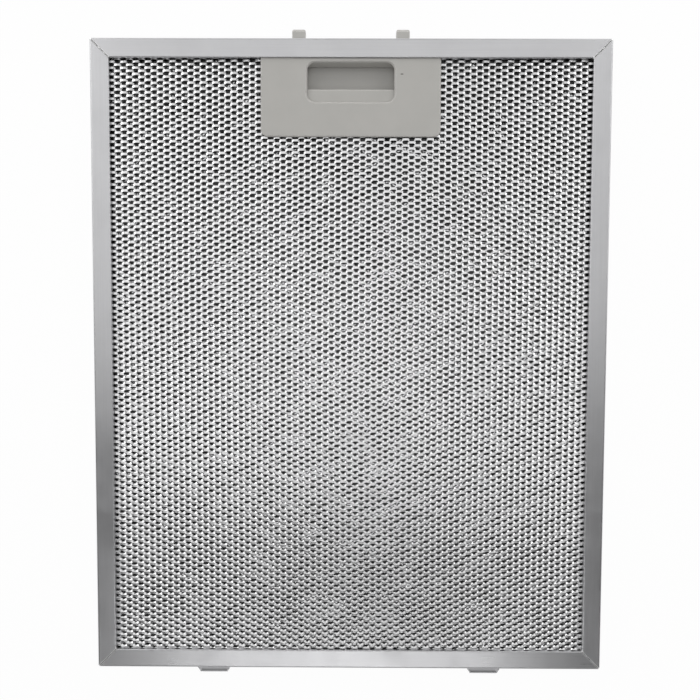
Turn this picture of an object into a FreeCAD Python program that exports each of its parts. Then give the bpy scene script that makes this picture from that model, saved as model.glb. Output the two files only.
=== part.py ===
# Cooker hood grease filter. A frame folded from one aluminium strip holds a pack of
# expanded metal and pleated foil. A sprung latch sits in the top edge, and two leaf
# springs push out of the bottom edge.
# Lengths are in millimetres. X runs across the filter, Y runs up to the latch, and Z
# runs from the back to the front. The origin is the middle of the frame's back.
import FreeCAD, Part
import os
import re
import Sketcher

SIZES = {
    # Frame: a channel with a web round the outside and flanges at front and back
    "frame_width": 260.0,
    "frame_length": 320.0,
    "frame_depth": 9.0,
    "sheet_gauge": 0.6,
    "flange_width": 9.5,
    "bend_radius": 0.9,
    "corner_radius": 1.2,
    "lip_radius": 0.5,
    "mitre_gap": 0.3,
    # Front and back mesh: a wall of slanting strands with diamond gaps
    "mesh_setback": 1.9,
    "mesh_depth": 1.8,
    "mesh_clearance": 0.4,
    "strand_gauge": 0.4,
    "row_pitch": 3.04,
    "long_pitch": 6.15,
    "gap_height": 2.4,
    "gap_row_step": 5.0,
    "gap_column_step": 3.0,
    # Pleated foil between the two meshes
    "foil_gauge": 0.2,
    "pleat_pitch": 12.0,
    "layer_gap": 0.1,
    # Latch housing: a cover in front and a back plate, clamped on the mesh
    "cover_width": 90.0,
    "cover_drop": 38.6,
    "cover_overlap": 3.2,
    "cover_setback": 1.0,
    "cover_gauge": 1.6,
    "cover_corner": 3.5,
    "cover_edge": 0.5,
    "relief_depth": 0.5,
    "housing_wall": 1.2,
    "housing_clearance": 0.4,
    "seat_clearance": 0.05,
    "post_radius": 1.2,
    "socket_wall": 1.0,
    "post_spread": 71.0,
    # Window in the cover, which a finger reaches through
    "window_width": 43.6,
    "window_length": 19.5,
    "window_drop": 1.85,
    "window_corner": 4.0,
    "window_edge": 0.7,
    "window_draft": 0.8,
    # Slider: two prongs, two arms and a finger bar
    "prong_spacing": 52.1,
    "prong_width": 6.6,
    "prong_reach": 5.6,
    "prong_corner": 0.9,
    "prong_bevel": 1.4,
    "bar_reach": 6.7,
    "bar_overlap": 1.6,
    "bar_edge": 0.6,
    "latch_travel": 6.0,
    "slide_clearance": 0.25,
    "stop_clearance": 0.1,
    # Coil spring under the finger bar
    "coil_radius": 1.6,
    "wire_gauge": 0.5,
    "coil_turns": 5.0,
    "peg_radius": 1.0,
    "peg_length": 1.8,
    # Leaf springs in the bottom edge
    "leaf_spacing": 140.2,
    "leaf_root": 18.6,
    "leaf_tip": 13.7,
    "leaf_reach": 3.1,
    "leaf_foot": 14.0,
    "leaf_width": 5.0,
    "leaf_gauge": 0.5,
    "slot_clearance": 0.5,
}

# How far apart two places may be and still count as the same when edges are picked
TOLERANCE = 0.001

doc = FreeCAD.newDocument("grease_filter")
sheet = doc.addObject("Spreadsheet::Sheet", "Sizes")
for row, (alias, size) in enumerate(SIZES.items(), start=1):
    sheet.set(f"A{row}", alias)
    sheet.set(f"B{row}", str(size))
    sheet.setAlias(f"B{row}", alias)
doc.recompute()

# Places that several pieces share, as expressions of the cells
HALF_X = "frame_width / 2"
HALF_Y = "frame_length / 2"
WINDOW_X = "(frame_width / 2 - flange_width)"
WINDOW_Y = "(frame_length / 2 - flange_width)"
MESH_X = "(frame_width / 2 - sheet_gauge - mesh_clearance)"
MESH_Y = "(frame_length / 2 - sheet_gauge - leaf_gauge - mesh_clearance)"
MESH_BACK = "(frame_depth - mesh_setback - mesh_depth)"
MESH_FRONT = "(frame_depth - mesh_setback)"
COVER_X = "cover_width / 2"
COVER_LOW = f"({WINDOW_Y} - cover_drop)"
COVER_HIGH = f"({HALF_Y} - sheet_gauge - mesh_clearance)"
COVER_FRONT = "(frame_depth - cover_setback)"
COVER_BACK = f"({COVER_FRONT} - cover_gauge)"
RIM_BACK = f"({MESH_FRONT} + seat_clearance)"
NOTCH_X = "(cover_width / 2 - cover_overlap)"
NOTCH_LOW = f"({COVER_LOW} + cover_overlap)"
HOUSING_X = f"({NOTCH_X} - housing_clearance)"
HOUSING_LOW = f"({NOTCH_LOW} + housing_clearance)"
FLOOR_BACK = "(sheet_gauge + 2 * seat_clearance)"
FLOOR_FRONT = "(mesh_setback - seat_clearance)"
SPRING_LOW = f"({HOUSING_LOW} + housing_wall)"
PANE_X = "window_width / 2"
PANE_HIGH = f"({WINDOW_Y} - window_drop)"
PANE_LOW = f"({PANE_HIGH} - window_length)"
SKIRT_X = "(window_width / 2 + housing_wall)"
SKIRT_HIGH = f"({PANE_HIGH} + housing_wall)"
BAR_LOW = f"({PANE_LOW} - bar_overlap)"
BAR_HIGH = f"({PANE_LOW} + bar_reach)"
SLIDER_BACK = f"({FLOOR_FRONT} + slide_clearance)"
SLIDER_FRONT = f"({COVER_BACK} - slide_clearance)"
SLIDER_MIDDLE = f"(({SLIDER_BACK} + {SLIDER_FRONT}) / 2)"
PRONG_IN = "(prong_spacing / 2 - prong_width / 2)"
PRONG_OUT = "(prong_spacing / 2 + prong_width / 2)"
ARM_IN = f"({SKIRT_X} + slide_clearance)"
GUIDE_IN = f"({PRONG_OUT} + slide_clearance)"
POST_Y = f"(({HOUSING_LOW} + {WINDOW_Y}) / 2)"


def cells(text):
    """Name the sheet in front of every alias of an expression."""
    return re.sub(r"\b[a-z]+(?:_[a-z]+)+\b", r"Sizes.\g<0>", text)


def new_body(label):
    body = doc.addObject("PartDesign::Body", label)
    body.Label = label
    return body


def origin_part(body, role):
    return next(part for part in body.Origin.OriginFeatures if part.Role == role)


def new_sketch(body, name, plane="XY_Plane", offset="0"):
    """A sketch on one of the body's own planes, moved along that plane's normal."""
    sketch = body.newObject("Sketcher::SketchObject", name)
    sketch.AttachmentSupport = [(origin_part(body, plane), "")]
    sketch.MapMode = "FlatFace"
    sketch.setExpression("AttachmentOffset.Base.z", cells(offset))
    return sketch


def pin_point(sketch, geometry, point, x, y):
    """Hold a point of a sketch at two expressions, measured from the sketch's origin."""
    for kind, text in (("DistanceX", x), ("DistanceY", y)):
        index = sketch.addConstraint(Sketcher.Constraint(kind, -1, 1, geometry, point, 1.0))
        sketch.setExpression(f"Constraints[{index}]", cells(text))


def add_outline(sketch, corners, closed=True):
    """Straight lines through corners, each corner held at its own two expressions."""
    first = sketch.GeometryCount
    count = len(corners) if closed else len(corners) - 1
    start = [FreeCAD.Vector(step, step * step, 0) for step in range(len(corners))]
    for step in range(count):
        end = start[(step + 1) % len(corners)]
        sketch.addGeometry(Part.LineSegment(start[step], end), False)
    joints = count if closed else count - 1
    for step in range(joints):
        follower = first + (step + 1) % count
        sketch.addConstraint(Sketcher.Constraint("Coincident", first + step, 2, follower, 1))
    for step in range(count):
        pin_point(sketch, first + step, 1, *corners[step])
    if not closed:
        pin_point(sketch, first + count - 1, 2, *corners[-1])


def add_rectangle(sketch, left, right, low, high):
    add_outline(sketch, [(left, low), (right, low), (right, high), (left, high)])


def add_circle(sketch, x, y, radius):
    circle = Part.Circle(FreeCAD.Vector(0, 0, 0), FreeCAD.Vector(0, 0, 1), 1.0)
    geometry = sketch.addGeometry(circle, False)
    pin_point(sketch, geometry, 3, x, y)
    index = sketch.addConstraint(Sketcher.Constraint("Radius", geometry, 1.0))
    sketch.setExpression(f"Constraints[{index}]", cells(radius))


def pad(body, sketch, length, backward=False, both_ways=False):
    feature = body.newObject("PartDesign::Pad", f"{sketch.Name}_pad")
    feature.Profile = sketch
    feature.setExpression("Length", cells(length))
    feature.Reversed = backward
    feature.Midplane = both_ways
    doc.recompute()
    return feature


def pocket(body, sketch, length, both_ways=False):
    """Cut a sketch along its normal, and make sure that the cut met the solid."""
    before = body.Shape.Volume
    feature = body.newObject("PartDesign::Pocket", f"{sketch.Name}_cut")
    feature.Profile = sketch
    feature.setExpression("Length", cells(length))
    feature.Reversed = True
    feature.Midplane = both_ways
    doc.recompute()
    if body.Shape.Volume >= before:
        raise RuntimeError(f"{feature.Name} cuts nothing")
    return feature


def repeat(body, feature, runs):
    """Repeat a feature along one or two axes; each run is (axis, spacing, count)."""
    pattern = body.newObject("PartDesign::LinearPattern", f"{feature.Name}_row")
    pattern.Originals = [feature]
    for suffix, (axis, spacing, count) in zip(("", "2"), runs):
        setattr(pattern, "Direction" + suffix, (origin_part(body, axis), [""]))
        setattr(pattern, "Mode" + suffix, "Spacing")
        pattern.setExpression("Offset" + suffix, cells(spacing))
        pattern.setExpression("Occurrences" + suffix, cells(count))
    body.Tip = pattern
    doc.recompute()
    return pattern


def dress_edges(body, kind, size_name, size, wanted):
    """Fillet or chamfer the edges that a test picks by the edge's box and the body's."""
    base = body.Tip
    box = base.Shape.BoundBox
    names = []
    for index, edge in enumerate(base.Shape.Edges, start=1):
        if wanted(edge.BoundBox, box):
            names.append(f"Edge{index}")
    feature = body.newObject(f"PartDesign::{kind}", f"{base.Name}_{kind.lower()}")
    feature.Base = (base, names)
    feature.setExpression(size_name, cells(size))
    doc.recompute()
    return feature


def round_edges(body, radius, wanted):
    return dress_edges(body, "Fillet", "Radius", radius, wanted)


def bevel_edges(body, size, wanted):
    return dress_edges(body, "Chamfer", "Size", size, wanted)


def near(first, second):
    return abs(first - second) < TOLERANCE


def upright(edge):
    return edge.XLength < TOLERANCE and edge.YLength < TOLERANCE


def level_at(edge, height):
    return near(edge.ZMin, height) and near(edge.ZMax, height)


def low_corner(edge, box):
    return upright(edge) and near(edge.YMin, box.YMin)


# Frame


def make_frame():
    """Folded channel: web outside, two flanges with lips turned in on the mesh."""
    body = new_body("frame")

    block = new_sketch(body, "frame_block")
    add_rectangle(block, f"-{HALF_X}", HALF_X, f"-{HALF_Y}", HALF_Y)
    pad(body, block, "frame_depth")
    round_edges(body, "corner_radius", lambda edge, box: upright(edge))

    def on_faces(edge, box):
        return level_at(edge, box.ZMin) or level_at(edge, box.ZMax)

    round_edges(body, "bend_radius", on_faces)

    opening = new_sketch(body, "frame_opening")
    add_rectangle(opening, f"-{WINDOW_X}", WINDOW_X, f"-{WINDOW_Y}", WINDOW_Y)
    pocket(body, opening, "frame_depth")
    reach = 2 * SIZES["bend_radius"]

    def round_opening(edge, box):
        return (
            on_faces(edge, box)
            and edge.XMax < box.XMax - reach
            and edge.XMin > box.XMin + reach
            and edge.YMax < box.YMax - reach
            and edge.YMin > box.YMin + reach
        )

    round_edges(body, "lip_radius", round_opening)

    channel = new_sketch(body, "frame_channel", offset="sheet_gauge")
    web_x = f"({HALF_X} - sheet_gauge)"
    web_y = f"({HALF_Y} - sheet_gauge)"
    lip_x = f"({WINDOW_X} + sheet_gauge)"
    lip_y = f"({WINDOW_Y} + sheet_gauge)"
    add_rectangle(channel, f"-{web_x}", web_x, f"-{web_y}", web_y)
    add_rectangle(channel, f"-{lip_x}", lip_x, f"-{lip_y}", lip_y)
    pocket(body, channel, "frame_depth - 2 * sheet_gauge")

    throat = new_sketch(body, "frame_throat", offset=FLOOR_FRONT)
    add_rectangle(throat, f"-{lip_x}", lip_x, f"-{lip_y}", lip_y)
    pocket(body, throat, f"frame_depth - 2 * {FLOOR_FRONT}")

    latch_notch = new_sketch(body, "frame_latch_notch", offset="sheet_gauge")
    notch_x = f"({COVER_X} + slot_clearance)"
    add_rectangle(latch_notch, f"-{notch_x}", notch_x, f"{WINDOW_Y} - slot_clearance", lip_y)
    pocket(body, latch_notch, "frame_depth - 2 * sheet_gauge")

    mitre = new_sketch(body, "frame_mitre")
    slant = "mitre_gap / sqrt(2)"
    for side_x in ("-", ""):
        for side_y in ("-", ""):
            in_x = f"{side_x}({WINDOW_X} - slot_clearance"
            in_y = f"{side_y}({WINDOW_Y} - slot_clearance"
            out_x = f"{side_x}({HALF_X} - bend_radius"
            out_y = f"{side_y}({HALF_Y} - bend_radius"
            corners = [
                (f"{in_x} + {slant})", f"{in_y})"),
                (f"{out_x})", f"{out_y} - {slant})"),
                (f"{out_x} - {slant})", f"{out_y})"),
                (f"{in_x})", f"{in_y} + {slant})"),
            ]
            add_outline(mitre, corners)
    pocket(body, mitre, "frame_depth")

    prong_slots = new_sketch(body, "frame_prong_slots", "XZ_Plane", f"-{HALF_Y}")
    slot_in = f"({PRONG_IN} - slide_clearance)"
    slot_out = f"({PRONG_OUT} + slide_clearance)"
    slot_low = f"({SLIDER_BACK} - slide_clearance)"
    slot_high = f"({SLIDER_FRONT} + slide_clearance)"
    add_rectangle(prong_slots, slot_in, slot_out, slot_low, slot_high)
    add_rectangle(prong_slots, f"-{slot_out}", f"-{slot_in}", slot_low, slot_high)
    pocket(body, prong_slots, "sheet_gauge")

    leaf_slots = new_sketch(body, "frame_leaf_slots", "XZ_Plane", f"{HALF_Y} - sheet_gauge")
    leaf_in = "(leaf_spacing / 2 - leaf_root / 2 - slot_clearance)"
    leaf_out = "(leaf_spacing / 2 + leaf_root / 2 + slot_clearance)"
    leaf_low = "(frame_depth / 2 - leaf_width / 2 - slot_clearance)"
    leaf_high = "(frame_depth / 2 + leaf_width / 2 + slot_clearance)"
    add_rectangle(leaf_slots, leaf_in, leaf_out, leaf_low, leaf_high)
    add_rectangle(leaf_slots, f"-{leaf_out}", f"-{leaf_in}", leaf_low, leaf_high)
    pocket(body, leaf_slots, "sheet_gauge")
    return body


# Mesh pack


def cut_latch_notch(body):
    notch = new_sketch(body, f"{body.Name}_notch")
    add_rectangle(notch, f"-{NOTCH_X}", NOTCH_X, NOTCH_LOW, f"{MESH_Y} + mesh_clearance")
    pocket(body, notch, "frame_depth")


def make_mesh(label, faces_back=False):
    """Expanded metal: strands that slant out to their lower edge, with diamond gaps."""
    body = new_body(label)
    wall = new_sketch(body, f"{label}_wall", offset=MESH_BACK)
    add_rectangle(wall, f"-{MESH_X}", MESH_X, f"-{MESH_Y}", MESH_Y)
    pad(body, wall, "strand_gauge")

    rows = f"floor(2 * {MESH_Y} / row_pitch)"
    first_row = f"(-{rows} * row_pitch / 2)"
    strand = new_sketch(body, f"{label}_strand", "YZ_Plane")
    strand_back = f"({MESH_BACK} + strand_gauge)"
    add_outline(
        strand,
        [
            (first_row, strand_back),
            (f"{first_row} + row_pitch", strand_back),
            (first_row, MESH_FRONT),
        ],
    )
    ridge = pad(body, strand, f"2 * {MESH_X}", both_ways=True)
    repeat(body, ridge, [("Y_Axis", "row_pitch", rows)])

    gap_rows = f"floor({WINDOW_Y} / (gap_row_step * row_pitch))"
    gap_columns = f"floor({WINDOW_X} / (gap_column_step * long_pitch))"
    spacing_x = "2 * gap_column_step * long_pitch"
    spacing_y = "2 * gap_row_step * row_pitch"
    margin = f"floor(({rows} - 2 * {gap_rows} * gap_row_step) / 2 + gap_row_step / 2)"
    gap_y = f"({first_row} + ({margin} + 0.5) * row_pitch)"
    gap_x = f"(gap_column_step * long_pitch * (0.5 - {gap_columns}))"
    gaps = new_sketch(body, f"{label}_gaps")
    for shift in ("0", "1"):
        x = f"({gap_x} + {shift} * gap_column_step * long_pitch)"
        y = f"({gap_y} + {shift} * gap_row_step * row_pitch)"
        diamond = [
            (f"{x} - long_pitch / 2", y),
            (x, f"{y} - gap_height / 2"),
            (f"{x} + long_pitch / 2", y),
            (x, f"{y} + gap_height / 2"),
        ]
        add_outline(gaps, diamond)
    gap = pocket(body, gaps, "frame_depth")
    repeat(body, gap, [("X_Axis", spacing_x, gap_columns), ("Y_Axis", spacing_y, gap_rows)])
    cut_latch_notch(body)
    if faces_back:
        turned = FreeCAD.Rotation(FreeCAD.Vector(0, 1, 0), 180)
        body.Placement = FreeCAD.Placement(FreeCAD.Vector(0, 0, 0), turned)
        body.setExpression("Placement.Base.z", cells("frame_depth"))
    return body


def make_foil(label, layer, upright_pleats):
    """Pleated foil; the layers turn their pleats in alternate directions."""
    body = new_body(label)
    room = f"({MESH_BACK} - mesh_setback - mesh_depth)"
    depth = f"(({room} - 4 * layer_gap) / 3)"
    back = f"(mesh_setback + mesh_depth + layer_gap + {layer} * ({depth} + layer_gap))"
    across, along = (MESH_X, MESH_Y) if upright_pleats else (MESH_Y, MESH_X)
    plane = "XZ_Plane" if upright_pleats else "YZ_Plane"
    axis = "X_Axis" if upright_pleats else "Y_Axis"
    count = f"floor(2 * {across} / pleat_pitch)"
    start = f"(-{count} * pleat_pitch / 2)"
    profile = new_sketch(body, f"{label}_pleat", plane)
    add_outline(
        profile,
        [
            (start, back),
            (f"{start} + pleat_pitch / 2", f"{back} + {depth} - foil_gauge"),
            (f"{start} + pleat_pitch", back),
            (f"{start} + pleat_pitch", f"{back} + foil_gauge"),
            (f"{start} + pleat_pitch / 2", f"{back} + {depth}"),
            (start, f"{back} + foil_gauge"),
        ],
    )
    pleat = pad(body, profile, f"2 * {along}", both_ways=True)
    repeat(body, pleat, [(axis, "pleat_pitch", count)])
    cut_latch_notch(body)
    return body


# Latch


def make_latch_cover():
    """Front plate: a rim over the mesh, a finger window with a skirt, and four posts."""
    body = new_body("latch_cover")
    rim = new_sketch(body, "cover_rim", offset=RIM_BACK)
    add_rectangle(rim, f"-{COVER_X}", COVER_X, COVER_LOW, COVER_HIGH)
    pad(body, rim, f"{COVER_FRONT} - {RIM_BACK}")
    round_edges(body, "cover_corner", low_corner)

    block = new_sketch(body, "cover_block", offset=COVER_BACK)
    add_rectangle(block, f"-{HOUSING_X}", HOUSING_X, HOUSING_LOW, COVER_HIGH)
    pad(body, block, f"{RIM_BACK} - {COVER_BACK}")

    pane = new_sketch(body, "cover_window", offset=COVER_BACK)
    add_rectangle(pane, f"-{PANE_X}", PANE_X, PANE_LOW, PANE_HIGH)
    pocket(body, pane, "cover_gauge")
    half_pane = SIZES["window_width"] / 2

    def pane_corner(edge, box):
        return upright(edge) and near(abs(edge.XMin), half_pane)

    round_edges(body, "window_corner", pane_corner)

    relief = new_sketch(body, "cover_relief", offset=f"{COVER_FRONT} - relief_depth")
    add_rectangle(relief, f"-{PRONG_OUT}", PRONG_OUT, WINDOW_Y, f"{COVER_HIGH} + slot_clearance")
    pocket(body, relief, "relief_depth")

    def pane_rim(edge, box):
        inside = edge.XMax < half_pane + TOLERANCE and edge.XMin > -half_pane - TOLERANCE
        return level_at(edge, box.ZMax) and inside

    def plate_rim(edge, box):
        on_side = near(edge.XMax, box.XMax) or near(edge.XMin, box.XMin)
        return level_at(edge, box.ZMax) and (on_side or near(edge.YMin, box.YMin))

    bevel_edges(body, "window_edge", pane_rim)
    bevel_edges(body, "cover_edge", plate_rim)

    skirt = new_sketch(body, "cover_skirt", offset=SLIDER_BACK)
    foot = f"({BAR_HIGH} + stop_clearance)"
    add_outline(
        skirt,
        [
            (f"-{SKIRT_X}", foot),
            (f"-{PANE_X}", foot),
            (f"-{PANE_X}", PANE_HIGH),
            (PANE_X, PANE_HIGH),
            (PANE_X, foot),
            (SKIRT_X, foot),
            (SKIRT_X, SKIRT_HIGH),
            (f"-{SKIRT_X}", SKIRT_HIGH),
        ],
    )
    pad(body, skirt, f"{COVER_BACK} - {SLIDER_BACK}")

    draft = new_sketch(body, "cover_draft", "YZ_Plane")
    add_outline(
        draft,
        [
            (PANE_HIGH, SLIDER_BACK),
            (PANE_HIGH, COVER_BACK),
            (f"{PANE_HIGH} - window_draft", SLIDER_BACK),
        ],
    )
    pad(body, draft, "window_width", both_ways=True)

    posts = new_sketch(body, "cover_posts", offset=f"({FLOOR_FRONT} + {COVER_BACK}) / 2")
    for side in ("-", ""):
        add_circle(posts, f"{side}post_spread / 2", POST_Y, "post_radius")
    pad(body, posts, f"({COVER_BACK} - {FLOOR_FRONT}) / 2")
    return body


def make_latch_back():
    """Back plate: a floor, walls that line the notch in the mesh, guides and sockets."""
    body = new_body("latch_back")
    floor = new_sketch(body, "back_floor", offset=FLOOR_BACK)
    add_rectangle(floor, f"-{COVER_X}", COVER_X, COVER_LOW, COVER_HIGH)
    pad(body, floor, f"{FLOOR_FRONT} - {FLOOR_BACK}")
    round_edges(body, "cover_corner", low_corner)

    def rear_rim(edge, box):
        return level_at(edge, box.ZMin) and not near(edge.YMin, box.YMax)

    bevel_edges(body, "cover_edge", rear_rim)

    walls = new_sketch(body, "back_walls", offset=FLOOR_FRONT)
    inside = f"({HOUSING_X} - housing_wall)"
    add_outline(
        walls,
        [
            (f"-{HOUSING_X}", HOUSING_LOW),
            (HOUSING_X, HOUSING_LOW),
            (HOUSING_X, WINDOW_Y),
            (inside, WINDOW_Y),
            (inside, SPRING_LOW),
            (f"-{inside}", SPRING_LOW),
            (f"-{inside}", WINDOW_Y),
            (f"-{HOUSING_X}", WINDOW_Y),
        ],
    )
    wall_height = f"{COVER_BACK} - {FLOOR_FRONT} - seat_clearance"
    pad(body, walls, wall_height)

    guides = new_sketch(body, "back_guides", offset=FLOOR_FRONT)
    guide_out = f"({GUIDE_IN} + housing_wall)"
    add_rectangle(guides, GUIDE_IN, guide_out, SPRING_LOW, WINDOW_Y)
    add_rectangle(guides, f"-{guide_out}", f"-{GUIDE_IN}", SPRING_LOW, WINDOW_Y)
    pad(body, guides, wall_height)

    sockets = new_sketch(body, "back_sockets", offset=FLOOR_FRONT)
    for side in ("-", ""):
        x = f"{side}post_spread / 2"
        add_circle(sockets, x, POST_Y, "post_radius + seat_clearance + socket_wall")
        add_circle(sockets, x, POST_Y, "post_radius + seat_clearance")
    pad(body, sockets, wall_height)

    peg = new_sketch(body, "back_peg", "XZ_Plane", f"-{SPRING_LOW}")
    add_circle(peg, "0", SLIDER_MIDDLE, "peg_radius")
    pad(body, peg, "peg_length", backward=True)
    return body


def make_latch_slider():
    """Yoke: a finger bar that shows in the window, two arms and two sprung prongs."""
    body = new_body("latch_slider")
    yoke = new_sketch(body, "slider_yoke", offset=SLIDER_BACK)
    shoulder = f"({SKIRT_HIGH} + latch_travel + slide_clearance)"
    tip = f"({HALF_Y} + prong_reach)"
    add_outline(
        yoke,
        [
            (f"-{PRONG_OUT}", BAR_LOW),
            (PRONG_OUT, BAR_LOW),
            (PRONG_OUT, tip),
            (PRONG_IN, tip),
            (PRONG_IN, shoulder),
            (ARM_IN, shoulder),
            (ARM_IN, BAR_HIGH),
            (f"-{ARM_IN}", BAR_HIGH),
            (f"-{ARM_IN}", shoulder),
            (f"-{PRONG_IN}", shoulder),
            (f"-{PRONG_IN}", tip),
            (f"-{PRONG_OUT}", tip),
        ],
    )
    pad(body, yoke, f"{SLIDER_FRONT} - {SLIDER_BACK}")

    def prong_tip(edge, box):
        return upright(edge) and near(edge.YMin, box.YMax)

    round_edges(body, "prong_corner", prong_tip)

    bevels = (("prong", tip, "prong_bevel", PRONG_OUT), ("bar", BAR_HIGH, "bar_edge", ARM_IN))
    for name, edge, size, half_width in bevels:
        bevel = new_sketch(body, f"slider_{name}_bevel", "YZ_Plane")
        corners = [
            (edge, f"{SLIDER_FRONT} - {size}"),
            (edge, SLIDER_FRONT),
            (f"{edge} - {size}", SLIDER_FRONT),
        ]
        add_outline(bevel, corners)
        pocket(body, bevel, f"2 * {half_width}", both_ways=True)

    peg = new_sketch(body, "slider_peg", "XZ_Plane", f"-{BAR_LOW}")
    add_circle(peg, "0", SLIDER_MIDDLE, "peg_radius")
    pad(body, peg, "peg_length")
    return body


def make_latch_spring():
    """Compression coil between the housing's lower wall and the finger bar."""
    body = new_body("latch_spring")
    wire = new_sketch(body, "spring_wire")
    add_rectangle(
        wire,
        "coil_radius - wire_gauge / 2",
        "coil_radius + wire_gauge / 2",
        "seat_clearance",
        "seat_clearance + wire_gauge",
    )
    coil = body.newObject("PartDesign::AdditiveHelix", "spring_coil")
    coil.Profile = wire
    coil.ReferenceAxis = (wire, ["V_Axis"])
    coil.Mode = 1
    rise = f"({BAR_LOW} - {SPRING_LOW} - wire_gauge - 2 * seat_clearance)"
    coil.setExpression("Pitch", cells(f"{rise} / coil_turns"))
    coil.setExpression("Turns", cells("coil_turns"))
    coil.setExpression("Height", cells(rise))
    body.setExpression("Placement.Base.y", cells(SPRING_LOW))
    body.setExpression("Placement.Base.z", cells(SLIDER_MIDDLE))
    doc.recompute()
    return body


# Leaf springs


def make_leaf_spring(label, side):
    """Bent strip: two feet inside the channel and a bridge out through the web."""
    body = new_body(label)
    foot = f"(-{HALF_Y} + sheet_gauge + seat_clearance + leaf_gauge / 2)"
    tip = f"(-{HALF_Y} - leaf_reach + leaf_gauge / 2)"
    end = "(leaf_root / 2 + leaf_foot)"
    route = new_sketch(body, f"{label}_route")
    add_outline(
        route,
        [
            (f"-{end}", foot),
            ("-leaf_root / 2", foot),
            ("-leaf_tip / 2", tip),
            ("leaf_tip / 2", tip),
            ("leaf_root / 2", foot),
            (end, foot),
        ],
        closed=False,
    )
    strip = new_sketch(body, f"{label}_strip", "YZ_Plane", f"-{end}")
    add_rectangle(
        strip,
        f"{foot} - leaf_gauge / 2",
        f"{foot} + leaf_gauge / 2",
        "frame_depth / 2 - leaf_width / 2",
        "frame_depth / 2 + leaf_width / 2",
    )
    sweep = body.newObject("PartDesign::AdditivePipe", f"{label}_sweep")
    sweep.Profile = strip
    sweep.Spine = route
    sweep.Transition = "Right corner"
    body.setExpression("Placement.Base.x", cells(f"{side}leaf_spacing / 2"))
    doc.recompute()
    return body


pieces = [
    make_frame(),
    make_mesh("front_mesh"),
    make_foil("front_foil", 2, True),
    make_foil("middle_foil", 1, False),
    make_foil("back_foil", 0, True),
    make_mesh("back_mesh", faces_back=True),
    make_latch_cover(),
    make_latch_back(),
    make_latch_slider(),
    make_latch_spring(),
    make_leaf_spring("left_leaf_spring", "-"),
    make_leaf_spring("right_leaf_spring", ""),
]

doc.recompute()
failed = [item.Name for item in doc.Objects if {"Invalid", "Error"} & set(item.State)]
for piece in pieces:
    if piece.Shape.isNull() or not piece.Shape.isValid() or len(piece.Shape.Solids) != 1:
        failed.append(piece.Label)
if failed:
    raise RuntimeError(f"failed: {failed}")

os.makedirs("parts", exist_ok=True)
for piece in pieces:
    piece.Shape.exportStep(f"parts/{piece.Label}.step")
    box = piece.Shape.BoundBox
    print(
        f"{piece.Label}: {piece.Shape.Volume:.1f} mm3,"
        f" x {box.XMin:.2f} to {box.XMax:.2f},"
        f" y {box.YMin:.2f} to {box.YMax:.2f},"
        f" z {box.ZMin:.2f} to {box.ZMax:.2f}"
    )
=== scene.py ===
# %% [markdown]
# # A cooker hood grease filter
# The filter is a flat pack of metal layers in a folded aluminium frame, with a grey plastic
# latch at the top edge and two leaf springs at the bottom edge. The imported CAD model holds
# every piece at its real size. This lesson dresses those pieces, and makes the pieces again
# whose real form is too fine for a CAD solid: the expanded metal and the coil spring.

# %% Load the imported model
import math

import bpy
import numpy as np
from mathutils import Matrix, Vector


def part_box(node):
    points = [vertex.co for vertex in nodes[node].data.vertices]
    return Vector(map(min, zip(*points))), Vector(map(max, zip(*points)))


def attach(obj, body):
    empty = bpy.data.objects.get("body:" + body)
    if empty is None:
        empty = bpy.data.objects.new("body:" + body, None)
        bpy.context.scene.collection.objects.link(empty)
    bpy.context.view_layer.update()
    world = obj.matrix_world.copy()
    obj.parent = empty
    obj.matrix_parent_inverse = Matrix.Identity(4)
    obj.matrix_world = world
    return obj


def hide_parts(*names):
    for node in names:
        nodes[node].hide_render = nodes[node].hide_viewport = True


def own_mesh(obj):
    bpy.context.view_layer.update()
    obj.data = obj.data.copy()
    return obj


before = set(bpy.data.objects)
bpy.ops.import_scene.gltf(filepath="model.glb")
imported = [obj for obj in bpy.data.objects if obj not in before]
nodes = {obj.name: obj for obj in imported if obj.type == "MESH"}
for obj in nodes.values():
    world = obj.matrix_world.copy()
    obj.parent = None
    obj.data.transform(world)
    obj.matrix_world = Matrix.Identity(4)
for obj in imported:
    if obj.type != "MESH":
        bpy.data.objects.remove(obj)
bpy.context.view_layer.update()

MM = 0.001
print("nodes:", sorted(nodes))

# %% [markdown]
# ## Building node trees
# A material is a tree of nodes. Each node could be made and linked line by line, but most
# lines would then repeat the same three acts: make a node, set it, link its inputs. One
# small helper does all three, so that the cells below read as lists of what goes into what.

# %% A helper that adds a node
def add(tree, kind, inputs=None, **settings):
    """Add a node, set its properties, and fill its inputs with values or links."""
    node = tree.nodes.new("ShaderNode" + kind)
    for name, value in settings.items():
        setattr(node, name, value)
    for key, value in (inputs or {}).items():
        if isinstance(value, bpy.types.NodeSocket):
            tree.links.new(value, node.inputs[key])
        else:
            node.inputs[key].default_value = value
    return node


def math_node(tree, operation, first, second=0.0, clamp=False):
    inputs = {0: first, 1: second}
    return add(tree, "Math", inputs, operation=operation, use_clamp=clamp).outputs[0]


def remap(tree, value, low, high, to_low=0.0, to_high=1.0):
    """Turn a range of a value into another range, and stop at its ends."""
    inputs = {"Value": value, 1: low, 2: high, 3: to_low, 4: to_high}
    return add(tree, "MapRange", inputs).outputs["Result"]


def mix_colors(tree, factor, first, second):
    """Blend two colours; a Mix node keeps its colour inputs at 6 and 7."""
    inputs = {0: factor, 6: first, 7: second}
    return add(tree, "Mix", inputs, data_type="RGBA").outputs[2]


def new_material(name):
    """A material with a Principled shader, and its node tree cleared of anything else."""
    material = bpy.data.materials.new(name)
    material.use_nodes = True
    tree = material.node_tree
    tree.nodes.clear()
    shader = add(tree, "BsdfPrincipled")
    add(tree, "OutputMaterial", {"Surface": shader.outputs["BSDF"]})
    return material, tree, shader


print("node helpers ready")

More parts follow.
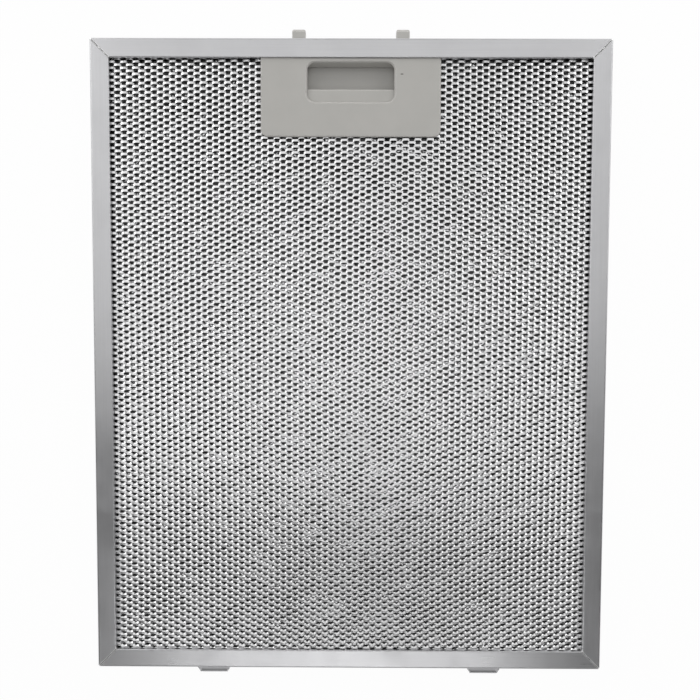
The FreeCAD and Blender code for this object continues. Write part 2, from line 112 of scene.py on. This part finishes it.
# %% [markdown]
# ## Rolled lines, shared by every metal piece
# Sheet and strip come off the rolls with fine straight lines and a faint cloudiness. Both
# show in every metal piece here, so they are one node group. It takes a position that is
# already stretched along the rolling direction, and gives out the lines and the clouds as
# plain values, so each metal chooses its own direction and strength.

# %% Node group: rolled lines
def new_group(name, inputs, outputs):
    """An empty shader node group with named sockets; returns it with its two end nodes."""
    group = bpy.data.node_groups.new(name, "ShaderNodeTree")
    for socket, kind in inputs:
        group.interface.new_socket(socket, in_out="INPUT", socket_type=kind)
    for socket, kind in outputs:
        group.interface.new_socket(socket, in_out="OUTPUT", socket_type=kind)
    source = group.nodes.new("NodeGroupInput")
    target = group.nodes.new("NodeGroupOutput")
    return group, source, target


rolled_lines, source, target = new_group(
    "Rolled lines",
    [("Position", "NodeSocketVector"), ("Stretched", "NodeSocketVector")],
    [("Lines", "NodeSocketFloat"), ("Clouds", "NodeSocketFloat")],
)
lines = add(
    rolled_lines,
    "TexNoise",
    {"Vector": source.outputs["Stretched"], "Scale": 1.0, "Detail": 3.0, "Roughness": 0.7},
)
clouds = add(
    rolled_lines,
    "TexNoise",
    {"Vector": source.outputs["Position"], "Scale": 45.0, "Detail": 4.0, "Roughness": 0.55},
)
rolled_lines.links.new(remap(rolled_lines, lines.outputs[0], 0.3, 0.7), target.inputs["Lines"])
rolled_lines.links.new(remap(rolled_lines, clouds.outputs[0], 0.3, 0.7), target.inputs["Clouds"])
print("group:", rolled_lines.name)

# %% [markdown]
# ## Soft edges and handling film, shared by metal and plastic
# No real edge is a knife edge, and light gathers on its small radius. The CAD solids could be
# given thousands of tiny rounds, but Blender's Bevel node bends only the shading normal near
# an edge, at no cost in triangles. The group also gives out a mask of the edges, where the
# materials lighten their colour as a painted highlight of that light on the radius.
# A second group gives the broad, faint smears that handling leaves.

# %% Node groups: soft edges and handling film
EDGE_STARTS, EDGE_FULL = 0.99, 0.88

soft_edges, source, target = new_group(
    "Soft edges",
    [("Radius", "NodeSocketFloat")],
    [("Normal", "NodeSocketVector"), ("Edge", "NodeSocketFloat")],
)
bevel = add(soft_edges, "Bevel", {"Radius": source.outputs["Radius"]}, samples=6)
flat = add(soft_edges, "NewGeometry")
agreement = add(
    soft_edges,
    "VectorMath",
    {0: bevel.outputs["Normal"], 1: flat.outputs["Normal"]},
    operation="DOT_PRODUCT",
)
soft_edges.links.new(bevel.outputs["Normal"], target.inputs["Normal"])
# The edge mask, which the materials use for a painted highlight.
edge = remap(soft_edges, agreement.outputs["Value"], EDGE_STARTS, EDGE_FULL)
soft_edges.links.new(edge, target.inputs["Edge"])

handling_film, source, target = new_group(
    "Handling film",
    [("Position", "NodeSocketVector")],
    [("Smears", "NodeSocketFloat")],
)
smears = add(
    handling_film,
    "TexNoise",
    {"Vector": source.outputs["Position"], "Scale": 22.0, "Detail": 5.0, "Distortion": 1.2},
)
film = remap(handling_film, smears.outputs[0], 0.45, 0.75)
handling_film.links.new(film, target.inputs["Smears"])
print("groups:", soft_edges.name, "and", handling_film.name)

# %% [markdown]
# ## Lines that turn at the mitres
# The frame is bare rolled sheet. Its lines run along each rail, so they turn at the mitres.
# A texture can only stretch one way, so two copies of the lines are made, one for each
# direction, and a mask that compares how far a point lies past the opening in X and in Y
# picks between them. That mask changes over exactly on the mitre. The same comparison finds the
# mitre itself: its cut edges are burred and burnished, so they are raised a little, and their
# colour is lightened as a painted highlight of the light the raised edge catches.

# %% Lines for one direction, and for the frame's two
FRAME_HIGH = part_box("frame")[1]
FLANGE = 9.5 * MM
BURR = 0.65 * MM
OPENING_X = FRAME_HIGH.x - FLANGE
OPENING_Y = FRAME_HIGH.y - FLANGE


def place_group(tree, group, inputs):
    return add(tree, "Group", inputs, node_tree=group)


def stretched_lines(tree, position, scale):
    """The rolled lines with a position scaled in each direction, in cycles per metre."""
    inputs = {0: position, 1: scale}
    stretched = add(tree, "VectorMath", inputs, operation="MULTIPLY").outputs["Vector"]
    return place_group(tree, rolled_lines, {"Position": position, "Stretched": stretched})


def past_opening(tree, coordinate, opening):
    return math_node(tree, "SUBTRACT", math_node(tree, "ABSOLUTE", coordinate), opening)


def turn_at_mitres(tree, position, side_lines, end_lines):
    """Pick each rail's lines, and find the burred mitres, which are raised and get a painted
    highlight.
    """
    parts = add(tree, "SeparateXYZ", {"Vector": position})
    past_x = past_opening(tree, parts.outputs["X"], OPENING_X)
    past_y = past_opening(tree, parts.outputs["Y"], OPENING_Y)
    side_rail = math_node(tree, "GREATER_THAN", past_x, past_y)
    blend = add(tree, "Mix", {0: side_rail, 2: end_lines, 3: side_lines}, data_type="FLOAT")
    apart = math_node(tree, "ABSOLUTE", math_node(tree, "SUBTRACT", past_x, past_y))
    return blend.outputs[0], remap(tree, apart, BURR / 2, BURR, 1.0, 0.0)


print("opening:", round(2 * OPENING_X / MM, 1), "by", round(2 * OPENING_Y / MM, 1), "mm")

# %% [markdown]
# ## One recipe for every metal
# The metals here differ in colour, gloss and grain, not in kind, so one function makes them all.
# The lines and clouds go into the colour and the roughness together, since a rolled line is
# both paler and rougher, and the lines also go into the relief.

# %% Materials: the recipe, and the frame's aluminium
# The mitre's lighter colour: partly burnished metal, partly a painted highlight.
BURNISHED_HIGHLIGHT = (0.90, 0.90, 0.90, 1.0)
BURR_HEIGHT = 0.3 * MM
GRAIN_HEIGHT = 0.02 * MM
ROUGHNESS_SPREAD = 0.05
SMEAR_ROUGHNESS = 0.06


def metal(name, low_color, high_color, roughness, scales, bump, edge_radius=0.0):
    """Metal with rolled lines in colour, gloss and relief, and soft edges with a painted
    highlight if asked.
    """
    material, tree, shader = new_material(name)
    position = add(tree, "TexCoord").outputs["Object"]
    grain = stretched_lines(tree, position, scales[0])
    lines = grain.outputs["Lines"]
    burr_and_highlight = None
    if len(scales) > 1:
        end_lines = stretched_lines(tree, position, scales[1]).outputs["Lines"]
        lines, burr_and_highlight = turn_at_mitres(tree, position, lines, end_lines)
    film = place_group(tree, handling_film, {"Position": position})
    tone = math_node(
        tree,
        "ADD",
        math_node(tree, "MULTIPLY", lines, 0.5),
        math_node(tree, "MULTIPLY", grain.outputs["Clouds"], 0.5),
    )
    color = mix_colors(tree, tone, low_color, high_color)
    gloss = math_node(
        tree,
        "ADD",
        remap(tree, tone, 0.0, 1.0, roughness - ROUGHNESS_SPREAD, roughness + ROUGHNESS_SPREAD),
        math_node(tree, "MULTIPLY", film.outputs["Smears"], SMEAR_ROUGHNESS),
    )
    tree.links.new(gloss, shader.inputs["Roughness"])
    relief = add(tree, "Bump", {"Strength": bump, "Distance": GRAIN_HEIGHT, "Height": lines})
    if edge_radius:
        edges = place_group(tree, soft_edges, {"Radius": edge_radius})
        # Painted highlight: the colour is lightened towards the high colour along the edges.
        color = mix_colors(tree, edges.outputs["Edge"], color, high_color)
        tree.links.new(edges.outputs["Normal"], relief.inputs["Normal"])
    if burr_and_highlight:
        # Painted highlight along the burnished mitre, which the bump below also raises.
        color = mix_colors(tree, burr_and_highlight, color, BURNISHED_HIGHLIGHT)
        raised = {"Distance": BURR_HEIGHT, "Height": burr_and_highlight, "Normal": relief.outputs["Normal"]}
        relief = add(tree, "Bump", raised)
    tree.links.new(color, shader.inputs["Base Color"])
    tree.links.new(relief.outputs["Normal"], shader.inputs["Normal"])
    shader.inputs["Metallic"].default_value = 1.0
    return material


ALONG, ACROSS = 25.0, 3500.0
frame_metal = metal(
    "frame aluminium",
    (0.475, 0.475, 0.485, 1.0),
    (0.56, 0.56, 0.57, 1.0),
    roughness=0.31,
    scales=[(ACROSS, ALONG, ACROSS), (ALONG, ACROSS, ACROSS)],
    bump=0.25,
    edge_radius=0.35 * MM,
)
print("material:", frame_metal.name)

# %% [markdown]
# ## The other metals
# The mesh is softer, brighter aluminium. Its cut edges are torn and without lustre, and they get
# a near-black colour of their own, which is partly that finish and partly painted shade. The
# backs of the strands, which show only in the dark of the gaps, share it as painted shade. The
# foil behind is thin and shiny, the deep foil is painted near-black as shade for the dark of the
# pack, and the springs are plain spring steel. All use the same recipe with their own colours,
# gloss and direction. Strands are too thin for soft edges to show, so only the springs ask for
# them.

# %% Materials: mesh, foil and spring steel
FINE_GRAIN = [(900.0, 900.0, 900.0)]
mesh_metal = metal(
    "mesh aluminium",
    (0.69, 0.69, 0.695, 1.0),
    (0.75, 0.75, 0.755, 1.0),
    roughness=0.24,
    scales=[(400.0, 2500.0, 2500.0)],
    bump=0.2,
)
# Painted shade: near-black, partly for the torn cut edges and wholly for the strand backs in the
# gaps.
cut_edge_and_shade_metal = metal(
    "cut edge aluminium with painted shade",
    (0.03, 0.03, 0.03, 1.0),
    (0.08, 0.08, 0.08, 1.0),
    roughness=0.6,
    scales=FINE_GRAIN,
    bump=0.2,
)
foil_metal = metal(
    "foil aluminium",
    (0.48, 0.48, 0.49, 1.0),
    (0.74, 0.74, 0.75, 1.0),
    roughness=0.2,
    scales=FINE_GRAIN,
    bump=0.5,
)
# Painted shade: the middle foil is nearly black for the dark deep in the pack, not for its own
# colour.
shade_foil_metal = metal(
    "foil aluminium painted dark as shade",
    (0.05, 0.05, 0.05, 1.0),
    (0.18, 0.18, 0.18, 1.0),
    roughness=0.45,
    scales=FINE_GRAIN,
    bump=0.5,
)
spring_metal = metal(
    "spring steel",
    (0.34, 0.34, 0.35, 1.0),
    (0.50, 0.50, 0.51, 1.0),
    roughness=0.33,
    scales=[(60.0, 3000.0, 3000.0)],
    bump=0.2,
    edge_radius=0.12 * MM,
)
for finish in (mesh_metal, cut_edge_and_shade_metal, foil_metal, shade_foil_metal, spring_metal):
    print("material:", finish.name)

# %% [markdown]
# ## The latch's plastic
# The latch is moulded in a warm grey plastic whose mould was spark-eroded, which leaves a fine
# even grain with no direction. A noise far smaller than a pixel would do nothing, so the
# grain goes mostly into the roughness, with a little into the relief. The back plate, which is
# the floor of the finger window, is painted a darker grey as shade for the window, so one recipe
# makes both. A dark fleck of dirt lies beside the window. It is one ellipse, masked by its
# distance from a point.

# %% Materials: grey plastic
FLECK_PLACE = (25.5 * MM, 142.7 * MM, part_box("latch_cover")[1].z)
FLECK_SCALE = (1 / (1.0 * MM), 1 / (0.35 * MM), 1 / (1.0 * MM))
FLECK_COLOR = (0.08, 0.07, 0.06, 1.0)
# The colour of the painted highlight along the plastic's edges.
EDGE_HIGHLIGHT = (0.74, 0.72, 0.70, 1.0)


def fleck_mask(tree, position):
    """1 in the middle of the fleck, and 0 past its edge."""
    offset = add(tree, "VectorMath", {0: position, 1: FLECK_PLACE}, operation="SUBTRACT")
    inputs = {0: offset.outputs[0], 1: FLECK_SCALE}
    in_lengths = add(tree, "VectorMath", inputs, operation="MULTIPLY").outputs[0]
    reach = add(tree, "VectorMath", {0: in_lengths}, operation="LENGTH").outputs["Value"]
    return remap(tree, reach, 1.0, 0.5)


def moulded_plastic(name, low_color, high_color):
    material, tree, shader = new_material(name)
    position = add(tree, "TexCoord").outputs["Object"]
    grain = add(tree, "TexNoise", {"Vector": position, "Scale": 2600.0, "Detail": 2.0}).outputs[0]
    tint = add(tree, "TexNoise", {"Vector": position, "Scale": 70.0, "Detail": 3.0}).outputs[0]
    edges = place_group(tree, soft_edges, {"Radius": 0.6 * MM})
    film = place_group(tree, handling_film, {"Position": position})
    color = mix_colors(tree, remap(tree, tint, 0.3, 0.7), low_color, high_color)
    # Painted highlight: a lighter colour along the edges, where light gathers on their radius.
    color = mix_colors(tree, edges.outputs["Edge"], color, EDGE_HIGHLIGHT)
    color = mix_colors(tree, fleck_mask(tree, position), color, FLECK_COLOR)
    tree.links.new(color, shader.inputs["Base Color"])
    gloss = math_node(
        tree,
        "ADD",
        remap(tree, grain, 0.3, 0.7, 0.46, 0.58),
        math_node(tree, "MULTIPLY", film.outputs["Smears"], SMEAR_ROUGHNESS),
    )
    tree.links.new(gloss, shader.inputs["Roughness"])
    raised = {"Strength": 0.15, "Distance": GRAIN_HEIGHT, "Height": grain}
    relief = add(tree, "Bump", {**raised, "Normal": edges.outputs["Normal"]})
    tree.links.new(relief.outputs["Normal"], shader.inputs["Normal"])
    return material


plastic = moulded_plastic(
    "grey plastic", (0.441, 0.432, 0.409, 1.0), (0.465, 0.455, 0.431, 1.0)
)
# Painted shade: the back plate is darker to stand for the shade in the finger window.
recess_shade_plastic = moulded_plastic(
    "grey plastic with painted recess shade", (0.335, 0.328, 0.311, 1.0), (0.353, 0.346, 0.328, 1.0)
)
print("materials:", plastic.name, "and", recess_shade_plastic.name)

# %% [markdown]
# ## Dressing the CAD pieces
# The frame, the latch and the leaf springs are right as solids, so their objects stay and
# only get their finish. Assigning a material to the object's first slot is enough.

# %% Assign finishes to the CAD pieces
FINISHES = {
    "frame": frame_metal,
    # The middle foil's near-black is painted shade.
    "middle_foil": shade_foil_metal,
    "latch_cover": plastic,
    # The back plate's darker grey is painted shade for the window.
    "latch_back": recess_shade_plastic,
    "latch_slider": plastic,
    "left_leaf_spring": spring_metal,
    "right_leaf_spring": spring_metal,
}


def finish_with(piece, material):
    piece.data.materials.clear()
    piece.data.materials.append(material)


for name, material in FINISHES.items():
    finish_with(nodes[name], material)
print("finished:", ", ".join(FINISHES))

# %% [markdown]
# ## The expanded metal
# Expanded metal is one sheet, slit in staggered rows and pushed open by a toothed knife. Each
# strip between two rows of slits becomes a zigzag ribbon, joined to the ribbon above at its
# peaks and to the one below at its valleys. The knife also twists the ribbons. At a peak a
# ribbon hangs down from the joint almost flat, and at a valley it leans steeply back, so each
# joint looks like a fish scale, and the gaps look closed from above and open from below.
#
# A bitmap or a bump would look flat from the side, and a boolean of some thousands of holes is
# slow. Sweeping a small section along each ribbon is exact and quick: three points at each end
# of a joint, which are the front's two edges and the back of the cut edge below. The ribbon has
# a thickness, so at a peak its front is a little longer than its back, and at a valley shorter.
#
# The foil layers are the same thing in thin, crushed foil. One function makes both, from a
# short list of sizes in millimetres and degrees: how far apart the joints are, the width and
# thickness of a ribbon, the tilt of the hanging and of the leaning half, the length of a joint
# and of the two tips beyond it, how far chance shifts, crushes and rocks a joint, how many joints
# and rows there are on each side of the middle, and where the latch's notch starts.

# %% Sizes of the expanded metal and the expanded foil
from collections import namedtuple

Sheet = namedtuple(
    "Sheet",
    "long_pitch short_pitch width gauge hang lean bond hang_tip lean_tip "
    "shift crush rock half_bonds half_rows notch",
)
face_sheet = Sheet(
    long_pitch=6.15,
    short_pitch=3.04,
    width=0.93,
    gauge=0.5,
    hang=4.0,
    lean=60.0,
    bond=2.8,
    hang_tip=1.7,
    lean_tip=0.5,
    shift=0.03,
    crush=0.0,
    rock=1.0,
    half_bonds=41,
    half_rows=103,
    notch=(14, 75),
)
foil_sheet = Sheet(
    long_pitch=7.6,
    short_pitch=4.2,
    width=0.36,
    gauge=0.1,
    hang=5.0,
    lean=12.0,
    bond=1.7,
    hang_tip=0.8,
    lean_tip=0.8,
    shift=0.4,
    crush=0.05,
    rock=16.0,
    half_bonds=33,
    half_rows=75,
    notch=(12, 55),
)

# %% [markdown]
# A ribbon runs from joint to joint. Most run right across the sheet, but the latch sits in a
# notch, and the ribbons there stop on either side of it. A joint's own directions come from its
# lean: up along the strand, and out of its front.

# %% Runs of joints, and the directions of a leaning strand
def ribbon_runs(sheet, row):
    """The runs of joints in a ribbon: one run, or two where the latch's notch is."""
    notch_bond, notch_row = sheet.notch
    if row < notch_row:
        return [np.arange(-sheet.half_bonds, sheet.half_bonds + 1)]
    left = np.arange(-sheet.half_bonds, 1 - notch_bond)
    return [left, -left[::-1]]


def tilted(degrees):
    """Unit vectors up along a strand that leans back, and out of its front."""
    angle = np.radians(degrees)
    none = np.zeros_like(angle)
    up = np.stack([none, np.cos(angle), -np.sin(angle)], axis=1)
    out = np.stack([none, np.sin(angle), np.cos(angle)], axis=1)
    return up, out


print("ribbons in the notch have", len(ribbon_runs(face_sheet, face_sheet.notch[1])), "runs")

# %% [markdown]
# Along each joint the ribbon's section stays the same, so it only needs points at both ends. The
# joint itself is the widest part. Towards the free edge the plate narrows, which gives the gaps
# their boat shape.

# %% The points of one ribbon
SHEET_SLANT = math.tan(math.radians(0.6))
LEG_KINK = math.tan(math.radians(20.0))


def ribbon_points(sheet, row, bonds, jitter):
    """Three section points at both ends of each joint along one run."""
    peak = (bonds - row) % 2 == 1
    level = row + peak
    shift_x, shift_y, shift_z, rock = jitter[level + sheet.half_rows, bonds + sheet.half_bonds].T
    x = bonds * sheet.long_pitch / 2 + shift_x
    joint = np.stack([x, level * sheet.short_pitch / 2 + shift_y, shift_z], axis=1)
    up, out = tilted(np.where(peak, sheet.hang, sheet.lean) + rock)
    seam = tilted((sheet.hang + sheet.lean) / 2 + rock)[1]
    half = sheet.gauge / 2
    hanging = peak[:, None]
    lower = np.where(hanging, joint - up * sheet.width, joint)
    lower_out = np.where(hanging, out, seam) * half
    upper_front = np.where(hanging, joint + seam * half, joint + up * sheet.width + out * half)
    points = np.stack([lower + lower_out, upper_front, lower - lower_out], axis=1)

    lower_length = np.where(peak, sheet.hang_tip, sheet.bond)
    upper_length = np.where(peak, sheet.bond, sheet.lean_tip)
    back_length = lower_length - np.where(peak, sheet.gauge, -sheet.gauge) * LEG_KINK
    points = np.repeat(points[:, None], 2, axis=1)
    for end, way in ((0, -0.5), (1, 0.5)):
        points[:, end, 0, 0] += way * lower_length
        points[:, end, 1, 0] += way * upper_length
        points[:, end, 2, 0] += way * back_length
    points = points.reshape(-1, 3)
    points[:, 1] += points[:, 0] * SHEET_SLANT
    return points


print("slant", round(SHEET_SLANT, 4), "and leg kink", round(LEG_KINK, 3))

# %% [markdown]
# The sweep joins each section to the next with three faces, and closes both ends. A small random
# shift and rock at every joint keeps the sheet from looking drawn with a ruler. It is drawn from
# a fixed seed, so the sheet comes out the same each time.

# %% Sweep every ribbon of a sheet
SHARP_ANGLE = math.radians(75.0)


def make_expanded_metal(name, sheet, seed, front, back_and_cut):
    """Every ribbon of a sheet as a closed three-sided sweep, in one mesh; its front is at z 0."""
    generator = np.random.default_rng(seed)
    spread = (sheet.shift, sheet.shift, sheet.crush, sheet.rock)
    joints = (2 * sheet.half_rows + 1, 2 * sheet.half_bonds + 1)
    jitter = generator.normal(0.0, 1.0, joints + (4,)).clip(-2.0, 2.0) * spread
    sides = np.arange(3)
    after = (sides + 1) % 3
    runs, faces, slots = [], [], []
    first = 0
    for row in range(-sheet.half_rows, sheet.half_rows):
        for bonds in ribbon_runs(sheet, row):
            runs.append(ribbon_points(sheet, row, bonds, jitter))
            last = first + len(runs[-1]) - 3
            at = np.arange(first, last, 3)[:, None]
            sweep = np.stack([at + sides, at + 3 + sides, at + 3 + after, at + after], axis=2)
            faces += sweep.reshape(-1, 4).tolist()
            faces += [[first, first + 1, first + 2], [last + 2, last + 1, last]]
            # The front takes the first material; the back and the cut edge take the second, which
            # on the face sheet is near-black painted shade.
            slots += [0, 1, 1] * len(at) + [1, 1]
            first = last + 3
    points = np.concatenate(runs)
    low, high = points[:, 2].min(), points[:, 2].max()
    points[:, 2] -= high
    mesh = bpy.data.meshes.new(name)
    mesh.from_pydata((points * MM).tolist(), [], faces)
    mesh.polygons.foreach_set("use_smooth", [True] * len(mesh.polygons))
    mesh.polygons.foreach_set("material_index", slots)
    mesh.set_sharp_from_angle(angle=SHARP_ANGLE)
    mesh.materials.append(front)
    mesh.materials.append(back_and_cut)
    mesh.calc_loop_triangles()
    print(f"{name}: {len(mesh.loop_triangles)} triangles, {high - low:.2f} mm deep")
    return mesh


face_mesh = make_expanded_metal(
    "expanded metal", face_sheet, seed=7, front=mesh_metal, back_and_cut=cut_edge_and_shade_metal
)
foil_mesh = make_expanded_metal(
    "expanded foil", foil_sheet, seed=11, front=foil_metal, back_and_cut=foil_metal
)

# %% [markdown]
# ## The layers, front and back
# The front and the back of the filter are cut from the same stock, and so are the two foil
# layers next to them. One mesh serves each pair: the second object is turned over about the
# filter's long axis. Each takes the place of its CAD wall, with its front where the wall's is.
# The middle foil is never seen clearly, so it stays as it is.

# %% Place the layers
for name, mesh, faces_back, slot in (
    ("front_mesh", face_mesh, False, "mesh_aluminium"),
    ("back_mesh", face_mesh, True, "mesh_aluminium"),
    ("front_foil", foil_mesh, False, "foil_aluminium"),
    ("back_foil", foil_mesh, True, "foil_aluminium"),
):
    low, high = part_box(name)
    layer = bpy.data.objects.new(name + "_strands", mesh)
    layer.location.z = low.z if faces_back else high.z
    layer.rotation_euler.y = math.pi if faces_back else 0.0
    bpy.context.scene.collection.objects.link(layer)
    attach(layer, "filter")
    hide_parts(name)
    print(layer.name, "at z =", round(layer.location.z / MM, 2), "mm")

# %% [markdown]
# ## The latch spring
# A coil spring of round wire sits under the finger bar. A curve with a round bevel would draw
# it, but it has to shorten when the latch is drawn, which needs a mesh, so the wire is swept
# as a mesh straight away: a ring of points carried round a helix. The last part of a turn at
# each end lies almost flat, as a wound spring's end coils do.

# %% Make the latch spring
SPRING_LOW, SPRING_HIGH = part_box("latch_spring")
WIRE_RADIUS = 0.25 * MM
COIL_RADIUS = 1.6 * MM
COIL_TURNS = 6.0
END_TURNS = 0.75
STEPS_A_TURN = 28
WIRE_SIDES = 10

spring_length = SPRING_HIGH.y - SPRING_LOW.y
spring_z = (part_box("latch_slider")[0].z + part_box("latch_slider")[1].z) / 2
turns = np.linspace(0.0, COIL_TURNS, int(COIL_TURNS * STEPS_A_TURN) + 1)
open_share = np.clip((turns - END_TURNS) / (COIL_TURNS - 2 * END_TURNS), 0.0, 1.0)
end_rise = 2 * WIRE_RADIUS * np.clip(turns / END_TURNS, 0.0, 1.0)
end_fall = 2 * WIRE_RADIUS * np.clip((turns - COIL_TURNS + END_TURNS) / END_TURNS, 0.0, 1.0)
open_length = spring_length - 6 * WIRE_RADIUS
heights = SPRING_LOW.y + WIRE_RADIUS + end_rise + open_share * open_length + end_fall

points, faces = [], []
for turn, height in zip(turns, heights):
    angle = 2 * math.pi * turn
    for side in range(WIRE_SIDES):
        round_wire = 2 * math.pi * side / WIRE_SIDES
        reach = COIL_RADIUS + WIRE_RADIUS * math.cos(round_wire)
        points.append(
            (
                reach * math.cos(angle),
                height + WIRE_RADIUS * math.sin(round_wire),
                spring_z + reach * math.sin(angle),
            )
        )
for step in range(len(turns) - 1):
    for side in range(WIRE_SIDES):
        after = (side + 1) % WIRE_SIDES
        low, high = step * WIRE_SIDES, (step + 1) * WIRE_SIDES
        faces.append((low + side, low + after, high + after, high + side))
faces.append(tuple(reversed(range(WIRE_SIDES))))
faces.append(tuple(range(len(points) - WIRE_SIDES, len(points))))

spring_mesh = bpy.data.meshes.new("latch spring wire")
spring_mesh.from_pydata(points, [], faces)
spring_mesh.polygons.foreach_set("use_smooth", [True] * len(spring_mesh.polygons))
spring_mesh.materials.append(spring_metal)
spring = bpy.data.objects.new("latch_spring_wire", spring_mesh)
bpy.context.scene.collection.objects.link(spring)
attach(spring, "filter")
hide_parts("latch_spring")
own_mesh(spring)
print("spring:", round(spring_length / MM, 2), "mm long,", len(faces), "faces")

# %% [markdown]
# ## Floor and light
# The filter lies on a plain white sweep. The floor has to stay white in the picture without
# more light on the filter, so for rays from the camera and from shiny surfaces most of its
# colour is its own. The rest is an ordinary matt surface, which keeps the shadow.

# %% Floor
FLOOR_HALF = 2.5
FLOOR_DROP = 0.05 * MM
OWN_WHITE = 0.96

floor_mesh = bpy.data.meshes.new("floor")
corners = [(-1, -1), (1, -1), (1, 1), (-1, 1)]
floor_mesh.from_pydata(
    [(x * FLOOR_HALF, y * FLOOR_HALF, -FLOOR_DROP) for x, y in corners], [], [(0, 1, 2, 3)]
)
floor = bpy.data.objects.new("floor", floor_mesh)
bpy.context.scene.collection.objects.link(floor)

white = bpy.data.materials.new("white sweep")
white.use_nodes = True
tree = white.node_tree
tree.nodes.clear()
path = add(tree, "LightPath")
seen = math_node(
    tree,
    "MAXIMUM",
    path.outputs["Is Camera Ray"],
    math_node(
        tree, "MAXIMUM", path.outputs["Is Glossy Ray"], path.outputs["Is Transmission Ray"]
    ),
)
matt = add(tree, "BsdfDiffuse", {"Color": (0.9, 0.9, 0.9, 1.0)})
glow = add(tree, "Emission", {"Color": (1.0, 1.0, 1.0, 1.0), "Strength": 1.0})
own = add(
    tree,
    "MixShader",
    {
        0: math_node(tree, "MULTIPLY", seen, OWN_WHITE),
        1: matt.outputs[0],
        2: glow.outputs[0],
    },
)
add(tree, "OutputMaterial", {"Surface": own.outputs[0]})
floor.data.materials.append(white)
print("floor:", 2 * FLOOR_HALF, "m square")

# %% [markdown]
# Bare metal shows whatever stands round it, so the light is placed for its reflections as
# much as for its strength. The rails face up, so they show what hangs above: a broad soft
# box over the latch half, and a smaller one beyond the other edge. The strands lean towards
# the latch end, so a long soft box stands on the floor past it. It stands close, so the strands
# near it show more of it than those at the other end, and the mesh darkens downwards. Between
# two joints a strand faces left or right as well, so a soft box on each side picks it out. The
# world fills in like the grey walls of a studio. It is pale at the horizon, where the floor
# ends, and almost dark overhead. Lamps are hidden from the camera, as a photographer keeps them
# out of the picture.

# %% Lamps and world
LAMPS = [
    # name, place, aim, width, height, power
    ("top soft box", (-0.09, 0.35, 1.2), (-0.09, 0.17, 0.0), 1.6, 1.1, 5.6),
    ("end soft box", (0.0, 0.60, 0.212), (0.0, 0.0, 0.212), 2.0, 0.42, 2.2),
    ("low soft box", (-0.03, -0.76, 1.2), (0.0, -0.1, 0.0), 0.74, 0.38, 2.1),
    ("left soft box", (-0.78, 0.42, 0.55), (0.0, 0.0, 0.0), 0.9, 0.42, 2.3),
    ("right soft box", (0.78, 0.42, 0.55), (0.0, 0.0, 0.0), 0.9, 0.42, 2.3),
]
for name, place, aim, width, height, power in LAMPS:
    lamp = bpy.data.lights.new(name, "AREA")
    lamp.shape = "RECTANGLE"
    lamp.size = width
    lamp.size_y = height
    lamp.energy = power
    holder = bpy.data.objects.new(name, lamp)
    holder.location = place
    to_filter = Vector(aim) - holder.location
    holder.rotation_euler = to_filter.to_track_quat("-Z", "Y").to_euler()
    holder.visible_camera = False
    bpy.context.scene.collection.objects.link(holder)
    print(name, "at", place, "m,", power, "W")

WALL_LEVEL = 0.34
CEILING_LEVEL = 0.1
WALL_TOP = (0.35, 0.8)
HORIZON_LEVEL = 0.9
HORIZON_TOP = (0.15, 0.3)
world = bpy.data.worlds.new("studio")
world.use_nodes = True
tree = world.node_tree
background = tree.nodes["Background"]
way = add(tree, "SeparateXYZ", {"Vector": add(tree, "TexCoord").outputs["Generated"]})
wall = remap(tree, way.outputs["Z"], *WALL_TOP, WALL_LEVEL, CEILING_LEVEL)
horizon = remap(tree, way.outputs["Z"], *HORIZON_TOP, HORIZON_LEVEL, 0.0)
level = math_node(tree, "MAXIMUM", wall, horizon)
tree.links.new(level, background.inputs["Strength"])
background.inputs["Color"].default_value = (1.0, 1.0, 1.0, 1.0)
bpy.context.scene.world = world
print("world: horizon", HORIZON_LEVEL, "walls", WALL_LEVEL, "ceiling", CEILING_LEVEL)

# %% [markdown]
# ## Camera
# The photograph looks straight down on the filter from quite close, so the near bottom of the
# frame looks narrower than its top. The place and the turn were fitted to the frame's corners.

# %% Camera
FOCAL_PIXELS = 689.4
IMAGE_PIXELS = 700.0
SENSOR = 36.0

lens = bpy.data.cameras.new("camera")
lens.sensor_width = SENSOR
lens.lens = SENSOR * FOCAL_PIXELS / IMAGE_PIXELS
lens.clip_start = 0.01
camera = bpy.data.objects.new("camera", lens)
camera.location = (1.76 * MM, 22.17 * MM, 357.63 * MM)
camera.rotation_euler = [math.radians(turn) for turn in (-2.80, 0.280, 0.211)]
bpy.context.scene.collection.objects.link(camera)
bpy.context.scene.camera = camera
bpy.context.scene.view_settings.view_transform = "Standard"
print("camera at", [round(c, 4) for c in camera.location], "lens", round(lens.lens, 2), "mm")
